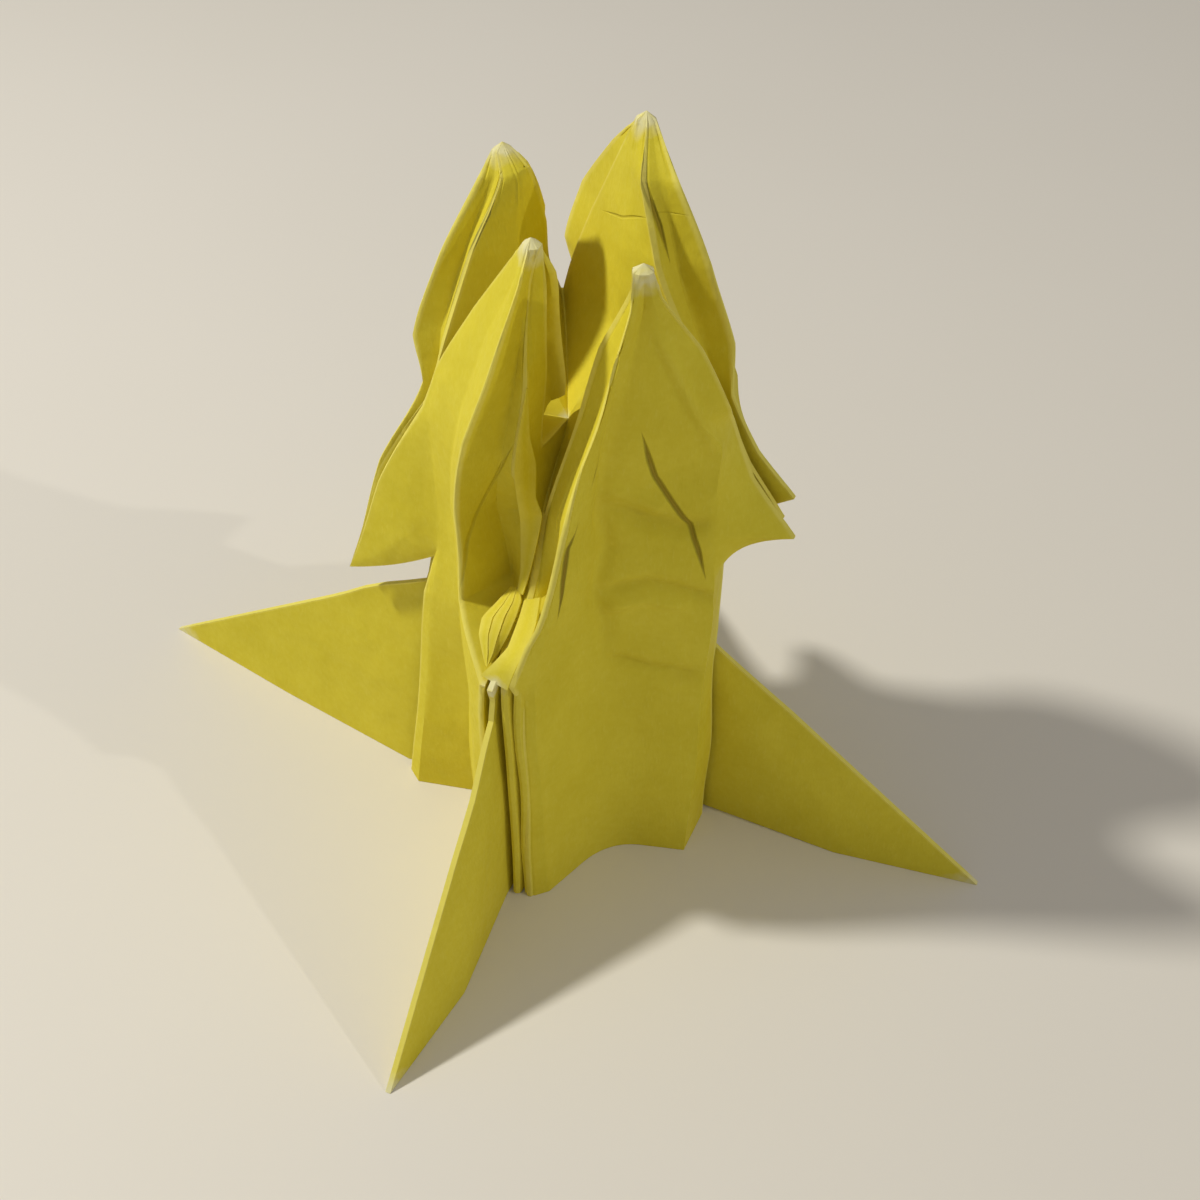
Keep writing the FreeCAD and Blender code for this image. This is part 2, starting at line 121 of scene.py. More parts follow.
SPINE = {
    "right": [polar(size("right_fin_share"), 3.8), P(13.2, 2.2, 20.0), P(13.1, 2.3, 31.8),
              P(18.0, 2.1, 34.5), P(15.2, 2.1, 38.6), P(13.0, 2.2, 43.0)],
    "back": [polar(size("back_fin_share"), 95.0), P(-2.0, 12.9, 21.5), P(-2.1, 12.7, 26.5),
             P(-3.0, 17.6, 25.5), P(-2.8, 13.8, 33.0), P(-3.3, 10.7, 43.8)],
    "left": [polar(size("left_fin_share"), 174.5), P(-10.3, -1.9, 22.4), P(-9.3, -1.7, 26.4),
             P(-17.3, -1.5, 21.6), P(-14.0, -0.8, 31.8), P(-9.2, -0.8, 40.0)],
    "front": [polar(size("front_fin_share"), 271.0), P(1.0, -13.3, 20.8), P(1.1, -13.1, 23.0),
              P(1.3, -14.0, 25.0), P(1.5, -7.5, 28.3), P(1.5, -4.3, 34.6)],
}
# Foot of each spine on the table, and how far each fin bows sideways half-way along.
FOOT = {
    "right": polar(size("column_share"), 10.6),
    "back": polar(size("column_share"), 98.0),
    "left": polar(size("column_share"), 190.6),
    "front": polar(size("column_share"), 273.6),
}
BOW = {"right": P(0.1, -0.9, 0), "back": P(0.7, 0, 0), "left": P(0, -0.1, 0), "front": P(1.0, 0, 0)}

# The towers, counter-clockwise. For each one: the valley fold down the middle of the outer
# face; the crease beside each corner and the outer folded edge on the clockwise ("cw") and
# counter-clockwise ("ccw") side; the inner folded edges and the inner face above the fork.
TOWERS = ["front_right", "back_right", "back_left", "front_left"]
SIDES = {
    "front_right": ("front", "right"),
    "back_right": ("right", "back"),
    "back_left": ("back", "left"),
    "front_left": ("left", "front"),
}
VALLEY = {
    "front_right": [P(7.0, -4.9, 0), P(6.5, -5.6, 21), P(6.3, -5.9, 24.5), P(6.0, -6.1, 28),
                    P(6.3, -5.9, 32.5), P(6.9, -5.5, 37.6), P(7.7, -6.0, 45.0), P(8.9, -6.0, 51.5),
                    P(9.7, -5.9, 55.8)],
    "back_right": [P(4.6, 7.2, 0), P(4.6, 7.2, 21), P(4.7, 7.2, 26), P(4.8, 7.3, 31),
                   P(5.0, 7.6, 36), P(5.4, 8.2, 42), P(5.8, 9.0, 47), P(5.9, 9.3, 53),
                   P(5.5, 8.7, 58.2)],
    "back_left": [P(-7.4, 5.4, 0), P(-7.0, 5.5, 22), P(-7.0, 5.5, 26.5), P(-7.0, 5.6, 30),
                  P(-7.1, 5.8, 35), P(-7.3, 6.2, 41), P(-7.5, 6.6, 46), P(-7.0, 6.9, 52),
                  P(-6.1, 6.6, 56.4)],
    "front_left": [P(-6.1, -4.0, 0), P(-5.7, -4.5, 21.5), P(-5.6, -4.6, 25), P(-5.7, -4.6, 28),
                   P(-5.9, -4.5, 32), P(-5.5, -4.6, 38), P(-4.3, -5.0, 43.6), P(-2.0, -5.2, 50.2),
                   P(0.4, -5.2, 55.2)],
}
CREASE = {
    ("front_right", "cw"): [P(3.7, -12.5, 0), P(3.2, -12.6, 21), P(3.3, -12.6, 24), P(3.6, -12.4, 26.6),
                            P(4.9, -11.2, 31.4), P(6.4, -9.8, 38.6), P(6.9, -8.8, 44.6),
                            P(8.3, -7.7, 51.1), P(9.6, -6.8, 55.9)],
    ("front_right", "ccw"): [P(13.4, -3.4, 0), P(14.2, -2.3, 21), P(14.3, -2.3, 30), P(14.3, -2.6, 35),
                             P(14.4, -2.5, 39), P(14.4, -2.2, 43), P(12.6, -3.6, 46.4),
                             P(11.4, -4.9, 52), P(10.4, -6.0, 56.2)],
    ("back_right", "cw"): [P(12.0, 5.6, 0), P(12.3, 5.6, 20), P(12.3, 5.7, 30), P(12.5, 5.9, 34),
                           P(12.4, 6.2, 38.5), P(12.2, 6.6, 43), P(10.6, 7.0, 47), P(9.0, 6.4, 52.5),
                           P(7.2, 6.4, 58)],
    ("back_right", "ccw"): [P(1.2, 12.6, 0), P(0.9, 12.2, 21.5), P(0.8, 12.1, 26.5), P(0.6, 12.4, 30),
                            P(0.4, 12.2, 35), P(0.0, 12.2, 41), P(-0.4, 12.9, 46.6), P(0.4, 12.9, 52),
                            P(2.4, 11.2, 57)],
    ("back_left", "cw"): [P(-5.2, 12.2, 0), P(-5.2, 11.7, 21.5), P(-5.2, 11.5, 26.5), P(-5.2, 11.6, 30),
                          P(-5.2, 11.3, 35), P(-5.5, 10.9, 41), P(-5.8, 10.9, 46.5), P(-5.3, 9.4, 52),
                          P(-4.9, 7.2, 56.4)],
    ("back_left", "ccw"): [P(-12.9, 1.2, 0), P(-11.0, 1.5, 22), P(-10.5, 1.6, 26.6), P(-10.2, 1.6, 30),
                           P(-10.0, 1.6, 35), P(-9.9, 1.7, 40), P(-9.8, 2.2, 44.4), P(-8.0, 3.0, 51.2),
                           P(-6.4, 4.9, 56.2)],
    ("front_left", "cw"): [P(-11.2, -4.9, 0), P(-8.9, -3.6, 22), P(-8.1, -3.4, 27.8), P(-8.1, -3.1, 31),
                           P(-8.2, -2.8, 34.5), P(-8.3, -2.6, 39.4), P(-6.9, -3.0, 43.4),
                           P(-3.4, -3.6, 50), P(-0.3, -4.5, 55.3)],
    ("front_left", "ccw"): [P(-1.6, -12.2, 0), P(-1.4, -11.6, 21), P(-1.4, -11.3, 23.4),
                            P(-1.8, -10.6, 25.6), P(-4.4, -7.5, 29), P(-4.6, -7.2, 35.6),
                            P(-3.1, -7.8, 43.3), P(-0.8, -7.4, 50.3), P(0.8, -6.3, 55.6)],
}
EDGE = {
    ("front_right", "cw"): [P(2.3, -13.8, 0), P(2.2, -13.3, 21), P(2.2, -13.2, 23.4), P(2.3, -13.8, 25.2),
                            P(4.3, -12.0, 30.7), P(6.1, -10.3, 39.2), P(6.7, -9.7, 44.5),
                            P(8.1, -8.4, 50.6), P(9.4, -7.3, 56.0)],
    ("front_right", "ccw"): [P(13.5, 0.9, 0), P(13.9, 0.9, 20.4), P(13.8, 1.1, 31.6), P(19.1, 1.3, 33.5),
                             P(15.9, 1.0, 38.0), P(14.2, 0.6, 43.2), P(14.7, -2.1, 46.6),
                             P(13.0, -3.9, 52.0), P(10.9, -5.9, 56.6)],
    ("back_right", "cw"): [P(12.8, 3.9, 0), P(13.2, 3.6, 20.4), P(13.0, 3.6, 31.8), P(18.5, 3.0, 36.0),
                           P(15.5, 3.2, 39.2), P(13.0, 3.7, 43.4), P(12.7, 4.6, 47.0),
                           P(11.0, 4.1, 52.8), P(8.1, 4.9, 58.2)],
    ("back_right", "ccw"): [P(-0.6, 13.5, 0), P(-0.8, 13.1, 21.5), P(-0.9, 12.9, 26.5),
                            P(-2.0, 17.6, 25.5), P(-1.7, 13.9, 33.0), P(-2.2, 12.0, 44.0),
                            P(-3.5, 12.4, 47.6), P(-2.3, 12.8, 52.6), P(1.0, 10.6, 57.4)],
    ("back_left", "cw"): [P(-3.2, 13.3, 0), P(-3.2, 12.8, 21.5), P(-3.3, 12.6, 26.5), P(-4.0, 17.4, 25.5),
                          P(-3.9, 13.5, 33.0), P(-4.5, 11.5, 44.0), P(-4.9, 11.0, 47.0),
                          P(-4.0, 9.4, 52.0), P(-4.2, 6.9, 56.6)],
    ("back_left", "ccw"): [P(-13.1, -1.0, 0), P(-10.7, -0.5, 22.4), P(-9.9, -0.4, 26.6),
                           P(-17.5, -0.6, 21.4), P(-14.3, 0.1, 32.0), P(-10.1, 0.5, 40.4),
                           P(-10.7, 0.6, 44.3), P(-8.3, 1.5, 51.2), P(-6.5, 4.0, 56.2)],
    ("front_left", "cw"): [P(-12.4, -3.9, 0), P(-9.8, -3.2, 22.2), P(-8.8, -2.9, 26.4),
                           P(-17.0, -2.4, 21.8), P(-13.6, -1.8, 31.4), P(-9.1, -2.0, 39.8),
                           P(-7.9, -1.7, 43.6), P(-4.1, -2.5, 50.2), P(-0.8, -3.8, 55.2)],
    ("front_left", "ccw"): [P(-0.2, -13.3, 0), P(-0.2, -12.8, 20.9), P(-0.1, -12.7, 23.1),
                            P(0.3, -13.4, 24.7), P(-3.6, -8.7, 28.2), P(-3.9, -8.1, 35.6),
                            P(-2.2, -9.0, 43.4), P(-0.1, -8.4, 50.4), P(1.3, -6.7, 55.7)],
}
INNER_EDGE = {
    ("front_right", "cw"): [P(4.0, -4.6, 42.6), P(6.0, -3.8, 50.4), P(8.3, -4.4, 55.6)],
    ("front_right", "ccw"): [P(11.4, -0.6, 46.6), P(10.6, -2.0, 51.8), P(9.8, -4.2, 56.0)],
    ("back_right", "cw"): [P(10.4, 2.6, 46.8), P(7.7, 2.3, 53.2), P(5.6, 4.2, 58.2)],
    ("back_right", "ccw"): [P(-1.9, 10.0, 47.6), P(-0.5, 10.2, 52.0), P(2.2, 8.8, 57.6)],
    ("back_left", "cw"): [P(-3.6, 9.2, 47.4), P(-3.0, 7.5, 52.0), P(-3.6, 6.0, 56.6)],
    ("back_left", "ccw"): [P(-7.5, -0.9, 45.4), P(-5.7, 1.2, 52.0), P(-4.8, 4.2, 56.4)],
    ("front_left", "cw"): [P(1.5, -0.3, 43.0), P(1.9, -1.4, 49.5), P(2.4, -3.3, 55.0)],
    ("front_left", "ccw"): [P(0.5, -6.4, 39.4), P(1.3, -6.0, 47.0), P(1.1, -4.7, 54.5)],
}
INNER_FACE = {
    "front_right": [P(5.4, -1.2, 45.0), P(7.2, -1.8, 51.2), P(8.7, -3.8, 55.8)],
    "back_right": [P(4.0, 4.4, 46.0), P(4.0, 5.4, 52.4), P(4.0, 6.6, 58.0)],
    "back_left": [P(-3.4, 3.4, 45.6), P(-3.7, 4.2, 52.0), P(-4.0, 4.9, 56.6)],
    "front_left": [P(1.2, -3.6, 40.5), P(1.8, -3.6, 47.6), P(2.1, -4.2, 54.5)],
}
TIP_AT = {
    "front_right": P(9.7, -6.1, size("front_right_share") * TALL),
    "back_right": P(4.6, 7.6, size("back_right_share") * TALL),
    "back_left": P(-5.5, 6.0, size("back_left_share") * TALL),
    "front_left": P(1.4, -4.7, size("front_left_share") * TALL),
}
CENTRE = P(1.6, 0.2, size("centre_share") * TALL)
INWARD = {
    "right": (V(-0.985, -0.17, 0), V(-1.0, 0.03, 0)),
    "back": (V(0.14, -0.99, 0), V(0.03, -1.0, 0)),
    "left": (V(0.99, 0.14, 0), V(0.995, 0.09, 0)),
    "front": (V(-0.03, 1.0, 0), V(0.02, 1.0, 0)),
}
pitch = size("layer_pitch")


def folds(tower, turn):
    """The folds of half a tower, row by row: valley, crease, edge, back of the edge, pleat out,
    pleat in, near and far on the inner layer, spine or inner edge, lip."""
    corner = SIDES[tower][0 if turn == "cw" else 1]
    pocket = (tower, turn) == ("front_left", "ccw")
    rows = []
    for row in range(RAW, TIP):
        crease = CREASE[tower, turn][row]
        edge = EDGE[tower, turn][row]
        beside = V(0, 0, 0)
        if row <= FORK:
            spine = SPINE[corner][row]
            root = FOOT[corner] if row == RAW else spine
            inward = INWARD[corner][0 if row <= UNDER else 1]
            level = V(-inward[1], inward[0], 0)
            if level @ (edge - root) < 0:
                level = -level
            root = root + level * (pitch / 2)
            lip = root
            if row == FORK:
                root = root + level * (pitch * 0.85)
        else:
            root = INNER_EDGE[tower, turn][row - WAIST]
            lip = root
            along = unit(INNER_FACE[tower][row - WAIST] - root)
            beside = VALLEY[tower][row] - INNER_FACE[tower][row - WAIST]
            beside = unit(beside - along * (beside @ along))
            root = root + beside * pitch
            level = unit(edge - root)
        spine = root
        if row == RAW:
            along = unit(SPINE[corner][RAW] - FOOT[corner])
            beside = V(-along[1], along[0], 0)
            if beside @ level < 0:
                beside = -beside
            spine = SPINE[corner][RAW] + beside * (pitch / 2)
        back = edge - level * pitch
        middle = (edge + root) * 0.5
        if row <= UNDER:
            rise = size("under_rise_" + corner) if row == UNDER else 0
            pleat = middle + inward * size("pleat_depth") + V(0, 0, rise)
        elif row <= MID:
            rise = size("flap_rise_" + corner) if row == FLAP else 0
            pleat = middle + inward * size("flap_pleat") + V(0, 0, rise)
        elif row == FORK and pocket:
            pleat = edge + (root - edge) * 0.35 + inward * size("pocket_pleat")
            pleat = pleat - V(0, 0, size("pocket_drop"))
        elif row == FORK:
            drop = 0 if corner == "front" else size("fork_drop")
            pleat = middle + inward * size("fork_pleat") - V(0, 0, drop)
        else:
            own = (VALLEY[tower][row] + INNER_FACE[tower][row - WAIST]) * 0.5
            tuck = size("neck_pleat") if row == NECK else size("tower_pleat")
            if pocket and row < NECK:
                middle = edge + (root - edge) * 0.75
            pleat = middle + unit(own - middle) * tuck
            if (tower, turn) == ("front_left", "cw") and row == WAIST:
                pleat = pleat - V(0, 0, size("web_drop"))
        fold_out = pleat + level * (pitch / 2)
        fold_in = pleat - level * (pitch / 2)
        if row == RAW:
            near = root + beside * (size("fin_splay") / 2)
            far = (FOOT[corner] + SPINE[corner][RAW]) * 0.5 + BOW[corner]
            far = far + beside * (pitch / 2 + size("fin_splay") / 2)
        else:
            first, second = (0.75, 0.88) if row <= UNDER else (0.35, 0.7)
            near = fold_in + (spine - fold_in) * first
            far = fold_in + (spine - fold_in) * second
        if row < FORK:
            lip = spine
        rows.append([VALLEY[tower][row], crease, edge, back, fold_out, fold_in, near, far, spine, lip])
    return rows


# how far a run between two folds departs from a straight one towards a soft curve
SOFTNESS = 0.4


def curve(p, corners, sub):
    """Points on a soft line through p, with sharp bends only at the corner rows."""
    p = np.asarray(p, float)
    n = len(p)
    d = np.maximum(np.linalg.norm(np.diff(p, axis=0), axis=1), 1e-6)
    slope = np.diff(p, axis=0) / d[:, None]
    t = np.arange(sub)[:, None] / sub
    out = []
    for i in range(n - 1):
        ends = []
        for j, leaving in ((i, True), (i + 1, False)):
            if j == 0:
                s = slope[0]
            elif j == n - 1:
                s = slope[n - 2]
            elif j in corners:
                s = slope[j] if leaving else slope[j - 1]
            else:
                s = (slope[j - 1] * d[j] + slope[j] * d[j - 1]) / (d[j - 1] + d[j])
            ends.append(s * d[i])
        out.append((2 * t ** 3 - 3 * t ** 2 + 1) * p[i] + (t ** 3 - 2 * t ** 2 + t) * ends[0]
                   + (3 * t ** 2 - 2 * t ** 3) * p[i + 1] + (t ** 3 - t ** 2) * ends[1])
    out.append(p[-1:])
    soft = np.vstack(out)
    where = np.linspace(0, n - 1, len(soft))
    i = np.minimum(where.astype(int), n - 2)
    straight = p[i] + (p[i + 1] - p[i]) * (where - i)[:, None]
    return straight + (soft - straight) * SOFTNESS


# rows drawn for each row of folds, the last row, and the rows where every edge bends sharply
SUB = 14
LAST = TIP * SUB
SHARP = {APEX, UNDER, FLAP}
# width of the pale line beside a folded edge, partly wear and partly painted highlight, and how far a bent
# edge bulges
PALE_EDGE_WIDTH = 0.22
BULGE = 0.07
# columns of facets across half an outer face: the bent and slit face at the front right has more
DENSE = {"front_right": 22, "back_right": 10, "back_left": 10, "front_left": 10}

# the net so far: grids of points with their paleness and face, and the facets over them

cloud = []
pale_of = []
tag_of = []
strips = []
count = 0


def add(grid, pale, tag, flip):
    """A grid of points, rows upward and columns counter-clockwise, and the facets over it."""
    global count
    rows, columns = grid.shape[:2]
    ids = count + np.arange(rows * columns).reshape(rows, columns)
    a, b, c, d = ids[:-1, :-1], ids[:-1, 1:], ids[1:, 1:], ids[1:, :-1]
    four = np.stack([b, a, d, c] if flip else [a, b, c, d], -1).reshape(-1, 4)
    strips.append(four)
    cloud.append(grid.reshape(-1, 3))
    pale_of.append(np.broadcast_to(pale, (rows, columns)).reshape(-1))
    tag_of.append(np.broadcast_to(tag, (rows, columns)).reshape(-1))
    count += rows * columns


def share_line(a, b, share):
    """Line at a share of the way from a to b."""
    return a + (b - a) * share


def near_end(a, b, gap):
    """Line that keeps a fixed distance from b, on the way from a."""
    d = np.linalg.norm(b - a, axis=1)[:, None]
    return b + (a - b) * np.minimum(gap / np.maximum(d, 1e-6), 0.4)


# a facet's face: ten for each tower, plus its kind, and 4 more for the sides of a ccw half
OUTER, SIDE, INNER = 1, 2, 3
CCW_SIDE = 4
lines = {}
tips = {}
for number, tower in enumerate(TOWERS):
    top = TIP_AT[tower]
    outside = INNER_FACE[tower][2] - VALLEY[tower][8]
    outside = unit(V(-outside[0], -outside[1], 0))
    beside = V(-outside[1], outside[0], 0)
    r = size("tip_radius")
    tip_mid = top + outside * r * 0.8
    tip_in = top - outside * r
    tips[tower] = top + V(0, 0, 0.5)
    middle_line = curve([CENTRE] + INNER_FACE[tower] + [tip_in], set(), SUB)
    rings = {}
    half = {}
    for turn, sign in (("cw", -1), ("ccw", 1)):
        # the points of the ring around the tip
        e = top + outside * r * 0.5 + beside * sign * r * 0.9
        s = top - outside * r * 0.5 + beside * sign * r * 0.9
        g = top + beside * sign * r * 0.95
        k = top + outside * r * 0.8 + beside * sign * r * 0.45
        rows = folds(tower, turn) + [[tip_mid, k, e, e, g, g, g, g, s, s]]
        made = []
        for j in range(10):
            corners = set() if j < 2 else SHARP if j < 4 else SHARP | {FORK}
            made.append(curve([row[j] for row in rows], corners, SUB))
        made[9][:FORK * SUB] = made[8][:FORK * SUB]
        if (tower, turn) == ("front_right", "cw"):
            # this edge sits a little further back low down, which leaves room for the pleats
            back_up = np.clip((29 - made[2][:, 2:3]) / 7, 0, 1) * V(0.95, 0.95, 0)
            made[1] += back_up * 0.75
            made[2] += back_up
            made[3] += back_up
        lines[tower, turn] = made
        half[turn] = made[1]
    for turn, sign in (("cw", -1), ("ccw", 1)):
        made = lines[tower, turn]
        dense = DENSE[tower]
        columns = []
        for share in np.arange(dense) / dense:
            line = share_line(made[0], made[1], share)
            if tower == "front_right":
                # the middle of this face bends softly, most of all low down
                soft = 0.12 + 0.33 * np.clip((44 - made[0][:, 2:3]) / 26, 0, 1)
                over = half["ccw" if turn == "cw" else "cw"]
                near = share_line(made[0], made[1], soft)
                far = share_line(made[0], over, soft)
                k = 0.5 + 0.5 * np.minimum(share / soft, 1)
                bend = (1 - k) ** 2 * far + 2 * k * (1 - k) * made[0] + k ** 2 * near
                line = np.where(share < soft, bend, line)
            columns.append((line, 0.04 if share == 0 else 0.0, OUTER))
        for share in np.arange(dense // 2) / (dense // 2) * 0.97:
            line = share_line(made[1], made[2], share)
            columns.append((line, 0.04 if share == 0 else 0.0, OUTER))
        columns.append((near_end(made[1], made[2], PALE_EDGE_WIDTH), 0.15, OUTER))
        columns.append((made[2], 0.8, OUTER))
        # the bent edge is round, except where the sheet has a corner
        out = made[2] - (made[1] + made[4]) * 0.5
        out = out / np.maximum(np.linalg.norm(out, axis=1), 1e-6)[:, None]
        room = np.ones(LAST + 1)
        room[:SUB] = 0.3
        room[FLAP * SUB - 3:FLAP * SUB + 4] = 0.0
        room[-SUB // 2:] = 0.0
        out = out * room[:, None] * BULGE
        columns.append((share_line(made[2], made[3], 0.33) + out, 0.9, SIDE))
        columns.append((share_line(made[2], made[3], 0.67) + out, 0.9, SIDE))
        columns.append((made[3], 0.7, SIDE))
        columns.append((near_end(made[4], made[3], PALE_EDGE_WIDTH), 0.1, SIDE))
        for share in (0.25, 0.5, 0.75):
            columns.append((share_line(made[3], made[4], share), 0.0, SIDE))
        columns.append((made[4], 0.0, SIDE))
        columns.append((share_line(made[4], made[5], 0.5), 0.0, SIDE))
        for j in (5, 6, 7):
            for share in (0, 0.33, 0.67):
                if j == 7 and share == 0.67:
                    columns.append((near_end(made[7], made[8], PALE_EDGE_WIDTH), 0.1, SIDE))
                columns.append((share_line(made[j], made[j + 1], share), 0.0, SIDE))
        columns[-1], columns[-2] = columns[-2], columns[-1]
        columns.append((made[8], 0.8, SIDE))
        columns.append((made[9], 0.9, SIDE))
        grid = np.stack([c[0] for c in columns], 1)
        pale = np.array([c[1] for c in columns])
        tag = np.array([c[2] for c in columns]) + 10 * number
        tag = np.where(tag % 10 == SIDE, tag + (CCW_SIDE if turn == "ccw" else 0), tag)
        add(grid, pale, tag, sign < 0)
        ring = grid[-1]
        # inner face, from the fork up
        a = made[9][FORK * SUB:]
        b = middle_line
        columns = [(a, 0.9), (near_end(b, a, PALE_EDGE_WIDTH), 0.12)]
        for share in (0.1, 0.2, 0.35, 0.5, 0.65, 0.8, 0.9):
            columns.append((share_line(a, b, share), 0.0))
        columns.append((near_end(a, b, PALE_EDGE_WIDTH), 0.05))
        # the front left tower's middle fold is a pale line: painted highlight along the ridge, with wear
        columns.append((b, 0.8 if tower == "front_left" else 0.03))
        grid = np.stack([c[0] for c in columns], 1)
        if (tower, turn) == ("front_left", "cw"):
            # a hollow between the second and the third of the tower's upright edges
            up = np.arange(len(a)) / (len(a) - 1)
            deep = 1.1 * np.sin(np.pi * np.clip(up * 1.15, 0, 1)) ** 0.7
            across = np.array([0, 0.35, 0.85, 1, 1, 1, 1, 1, 0.9, 0.4, 0])
            grid = grid + (deep[:, None] * across)[:, :, None] * V(-0.97, -0.2, 0)
        add(grid, np.array([c[1] for c in columns]), INNER + 10 * number, sign < 0)
        lines[tower, turn, "floor"] = grid[0]
        rings[turn] = np.vstack([ring, grid[-1, 1:]])
    # the worn tip closes over
    loop = np.vstack([rings["ccw"], rings["cw"][::-1][1:]])
    cap = np.stack([loop, np.broadcast_to(tips[tower], loop.shape)])
    add(cap, 1.0, OUTER + 10 * number, False)

# the bent edges of the fins and of the walls between the towers
for i, tower in enumerate(TOWERS):
    after = TOWERS[(i + 1) % 4]
    one = lines[tower, "ccw"][9][:FORK * SUB + 1]
    other = lines[after, "cw"][9][:FORK * SUB + 1]
    half_way = (one + other) / 2
    add(np.stack([one, half_way, other], 1), 0.9, SIDE + 10 * i, False)
    one = lines[tower, "ccw", "floor"]
    other = lines[after, "cw", "floor"]
    add(np.stack([one, (one + other) / 2, other], 1), 0.3, SIDE + 10 * i, False)


# smaller folds of the same sheet
FOLDS = 5
TOWARDS_VIEW = V(0.32, -0.72, 0.61)


def tucked(left, right, height, steps, pale):
    """A small folded piece between two lines, arched by height, its layers ending in steps."""
    a = curve([V(*p) for p in left], set(), 6)
    b = curve([V(*p) for p in right], set(), 6)
    shares, lift, wear_and_sheen = [0.0], [0.0], [pale]
    for i in range(steps):
        low, high = i / steps, (i + 1) / steps
        shares += [low + 0.03, (low + high) / 2, high - 0.04, high]
        lift += [0.10, 0.10, 0.16, 0.0]
        # pale layer ends: partly wear, partly painted highlight
        wear_and_sheen += [pale, 0.0, pale * 0.8, 0.0]
    shares = np.array(shares)
    grid = a[:, None] + (b - a)[:, None] * shares[None, :, None]
    arch = np.sin(np.pi * np.clip(shares, 0.02, 1)) * height + np.array(lift) * (1 if steps > 1 else 0)
    ends = np.sin(np.pi * np.linspace(0.06, 0.94, len(a))) ** 0.5
    grid = grid + (ends[:, None] * arch)[:, :, None] * TOWARDS_VIEW
    add(grid, np.array(wear_and_sheen), FOLDS, False)


# the layered fold that lies in the front pocket
tucked(
    [(-0.4, -6.4, 28.6), (-0.8, -7.9, 28.2), (-1.2, -9.6, 27.8), (-0.9, -10.7, 27.2),
     (-0.2, -11.7, 26.4), (0.3, -12.3, 25.7)],
    [(0.3, -6.5, 28.8), (0.9, -7.5, 28.6), (1.1, -8.7, 28.1), (1.1, -10.2, 27.3),
     (0.8, -11.3, 26.4), (0.4, -12.3, 25.8)], 0.35, 3, 0.55)
# the beak-shaped fold between it and the right face
tucked(
    [(1.3, -7.8, 29.0), (1.5, -9.1, 28.5), (1.6, -10.4, 27.9), (1.6, -11.4, 27.3),
     (1.0, -12.4, 26.4), (0.3, -13.3, 25.6)],
    [(3.7, -10.3, 32.4), (3.8, -11.6, 30.5), (3.5, -12.2, 29.0), (3.1, -12.6, 27.8),
     (2.7, -13.0, 26.3), (2.4, -13.4, 24.9)], 0.0, 1, 0.5)
# the long strip beside the pocket's dark hollow
tucked(
    [(1.28, -6.05, 47.2), (0.85, -6.7, 43.4), (0.6, -6.8, 40.4), (0.35, -6.1, 37.4),
     (0.15, -5.4, 34.3), (0.2, -5.7, 32.3), (0.4, -6.4, 30.4), (0.3, -6.8, 28.8)],
    [(1.34, -5.95, 47.2), (1.3, -5.8, 43.0), (1.45, -5.1, 39.9), (1.5, -5.3, 37.0),
     (1.8, -5.0, 35.2), (1.7, -5.5, 33.8), (1.3, -6.4, 31.2), (0.9, -7.2, 28.9)], 0.15, 1, 0.7)
# the two upright pleats beside the column's front edge
for x, y, top, wide in ((1.72, -13.05, 24.6, 0.62), (2.52, -12.75, 25.4, 0.62)):
    nose = [V(0, 2.8, 0), V(0, 0.3, 0), V(0.1, 0.08, 0), V(wide / 2, 0, 0), V(wide - 0.1, 0.1, 0),
            V(wide, 0.32, 0), V(wide + 0.1, 2.8, 0)]
    rows = []
    for z in np.linspace(0.07, top, 14):
        sway = 0.06 * math.sin(z * 0.5 + x * 3)
        rows.append([V(x + sway, y, z) + p for p in nose])
    # the pleats' rounded noses are pale: painted highlight along the bent edge, with wear
    add(np.array(rows), np.array([0, 0.1, 0.25, 0.2, 0.25, 0.1, 0]), FOLDS, False)

# points that coincide become one
WELD_STEPS = 500
cloud = np.vstack(cloud)
pale_of = np.concatenate(pale_of)
tag_of = np.concatenate(tag_of)
four = np.vstack(strips)
_, first, weld = np.unique(np.round(cloud * WELD_STEPS).astype(np.int64), axis=0,
                              return_index=True, return_inverse=True)
weld = weld.reshape(-1)
P3 = cloud[first]
tag = tag_of[first]
pale = np.zeros(len(P3))
np.maximum.at(pale, weld, pale_of)
four = weld[four]
# each four-sided facet splits along its shorter diagonal
ac = np.linalg.norm(P3[four[:, 0]] - P3[four[:, 2]], axis=1)
bd = np.linalg.norm(P3[four[:, 1]] - P3[four[:, 3]], axis=1)
short = ac <= bd
T = np.vstack([
    four[short][:, [0, 1, 2]], four[short][:, [0, 2, 3]],
    four[~short][:, [0, 1, 3]], four[~short][:, [1, 2, 3]],
])
T = T[(T[:, 0] != T[:, 1]) & (T[:, 1] != T[:, 2]) & (T[:, 2] != T[:, 0])]
# raw edges have a facet on one side only
directed = set(map(tuple, np.vstack([T[:, [0, 1]], T[:, [1, 2]], T[:, [2, 0]]]).tolist()))
raw = np.array([(a, b) for (a, b) in directed if (b, a) not in directed])
raw = raw[np.lexsort((raw[:, 1], raw[:, 0]))]
on_table = np.zeros(len(P3), bool)
on_table[raw.ravel()] = P3[raw.ravel(), 2] < 1e-6


def normals_of(P3, T):
    """Normal of the net at every point."""
    n = np.cross(P3[T[:, 1]] - P3[T[:, 0]], P3[T[:, 2]] - P3[T[:, 0]])
    out = np.zeros_like(P3)
    for k in range(3):
        np.add.at(out, T[:, k], n)
    return out / np.maximum(np.linalg.norm(out, axis=1), 1e-9)[:, None]


